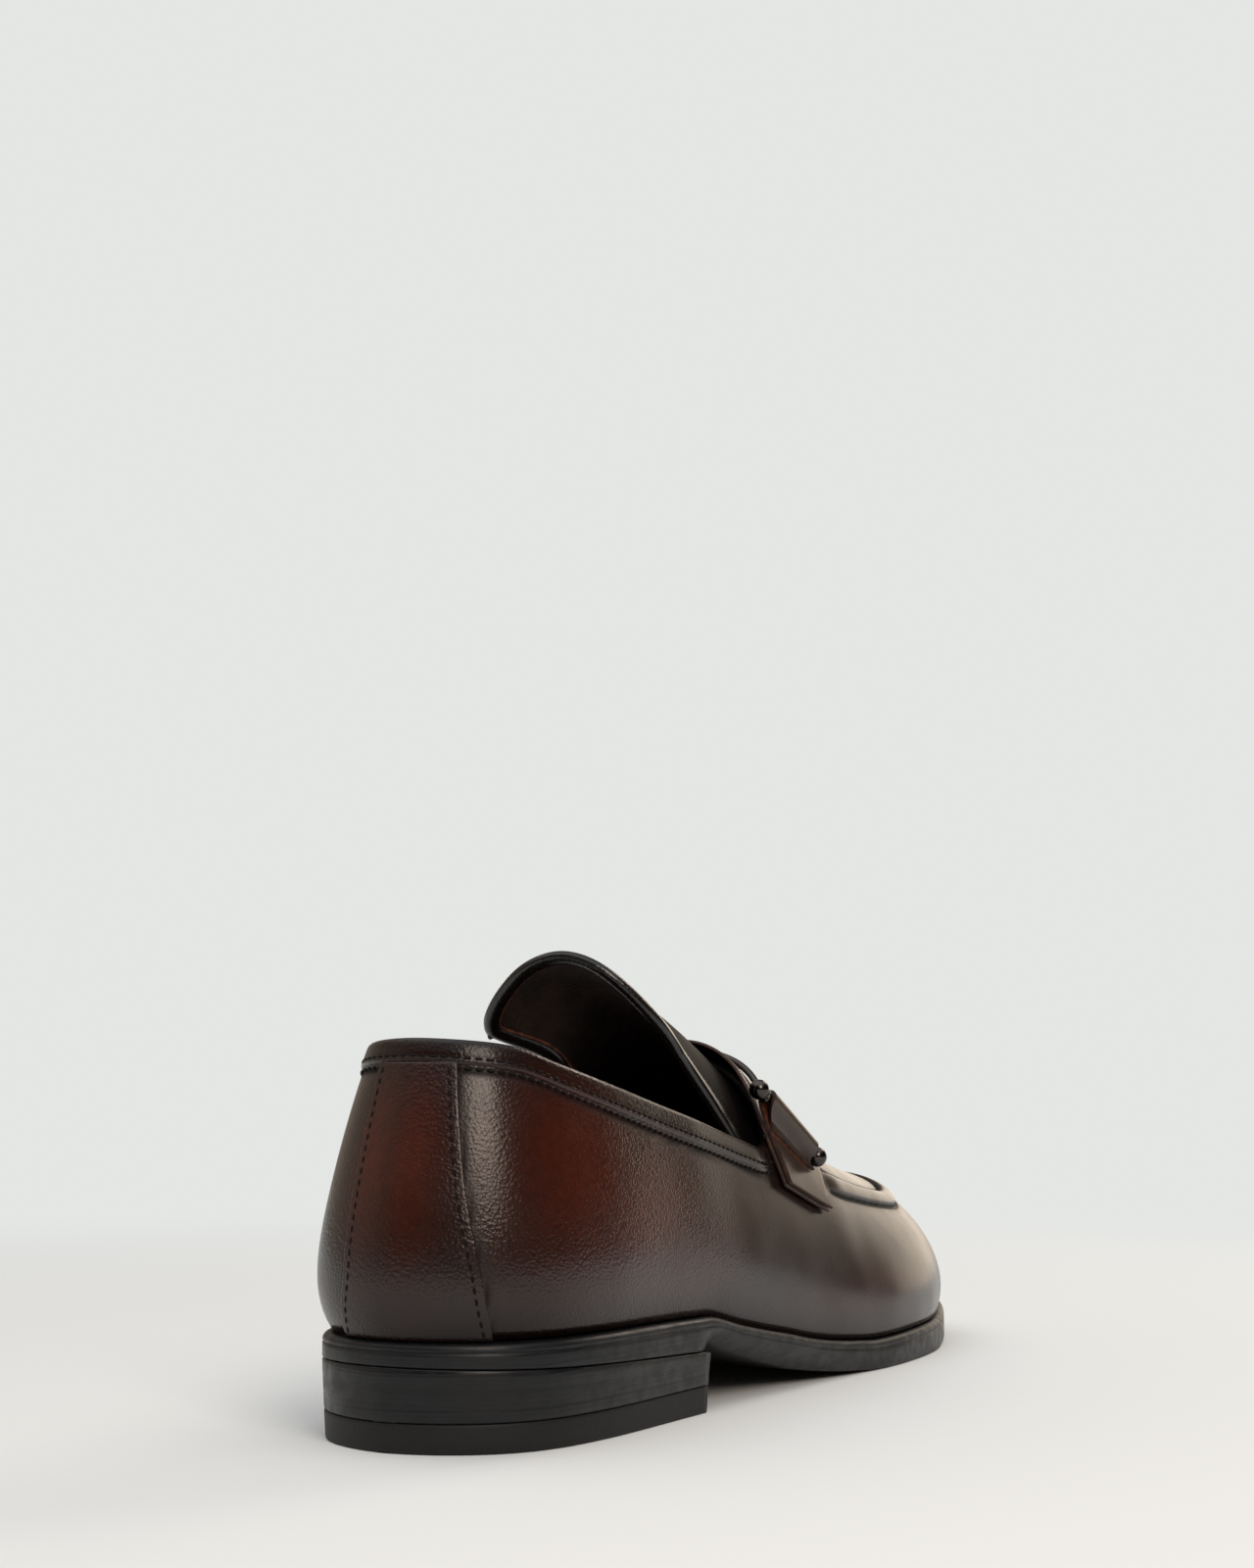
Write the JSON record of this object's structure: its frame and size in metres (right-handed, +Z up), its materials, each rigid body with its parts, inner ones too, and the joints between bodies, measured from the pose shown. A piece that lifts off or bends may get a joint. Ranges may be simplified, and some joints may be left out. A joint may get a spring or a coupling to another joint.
{
  "type": "bit loafer",
  "caption": "Slip-on dress loafer for the right foot: hollow leather upper with apron seam, long tongue, saddle strap and metal bit, on a thin leather sole with a stacked heel.",
  "frame": {"origin": "on the floor under the middle of the shoe's bounding box, the shoe standing on its sole", "axes": "+X from heel to toe, +Y to the wearer's left, which is the inner side of this right foot, +Z up"},
  "size_m": [0.3024, 0.1024, 0.1134],
  "materials": {
    "brown_calf": "dark brown box calf, polished and burnished nearly black at seams and edges",
    "lining_leather": "matte dark brown lining leather",
    "black_sole_leather": "black painted and waxed sole edge",
    "black_heel_stack": "stacked leather lifts, painted black and polished",
    "black_rubber": "matte black rubber top lift",
    "gunmetal": "polished dark gunmetal plating"
  },
  "bodies": {
    "root": {"upper": "brown_calf", "tongue": "brown_calf", "saddle_strap": "brown_calf", "bit_loop_right": "brown_calf", "bit_loop_left": "brown_calf", "insole": "lining_leather", "outsole": "black_sole_leather", "heel_stack": "black_heel_stack", "heel_top_lift": "black_rubber", "bit_cheek_right": "gunmetal", "bit_cheek_left": "gunmetal", "bit_bar": "gunmetal"}
  },
  "joints": []
}
